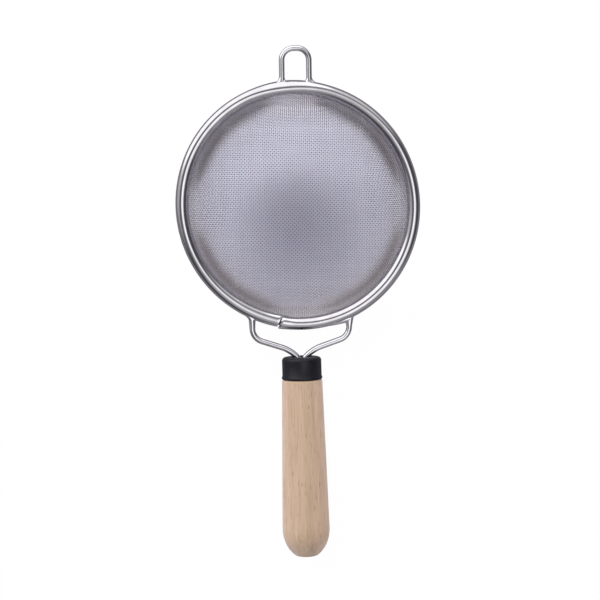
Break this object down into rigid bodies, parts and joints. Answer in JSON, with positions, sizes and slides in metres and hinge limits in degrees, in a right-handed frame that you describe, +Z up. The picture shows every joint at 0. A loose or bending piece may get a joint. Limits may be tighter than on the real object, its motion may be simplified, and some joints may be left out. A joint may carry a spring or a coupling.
{
  "type": "miso strainer",
  "caption": "Hand strainer with a woven wire bowl in a rolled steel rim, a wire rest loop in front, a wire fork, a black ferrule and a turned wooden handle.",
  "frame": {"origin": "middle of the footprint on the table that the strainer lies on, with its bowl and its butt touching", "axes": "+Y from the handle towards the rest loop, +Z up out of the bowl, +X to the right"},
  "size_m": [0.118, 0.2414, 0.0564],
  "materials": {
    "net_wire": "drawn stainless wire, satin",
    "polished_steel": "polished stainless steel",
    "black_plastic": "moulded, semi-gloss",
    "beech": "turned beech, fine sanded, bare"
  },
  "bodies": {
    "root": {"mesh_bowl": "net_wire", "rim_band": "polished_steel", "rim_core_hoop": "net_wire", "front_loop": "polished_steel", "fork_arm_left": "polished_steel", "fork_arm_right": "polished_steel", "ferrule": "black_plastic", "handle": "beech"}
  },
  "joints": []
}
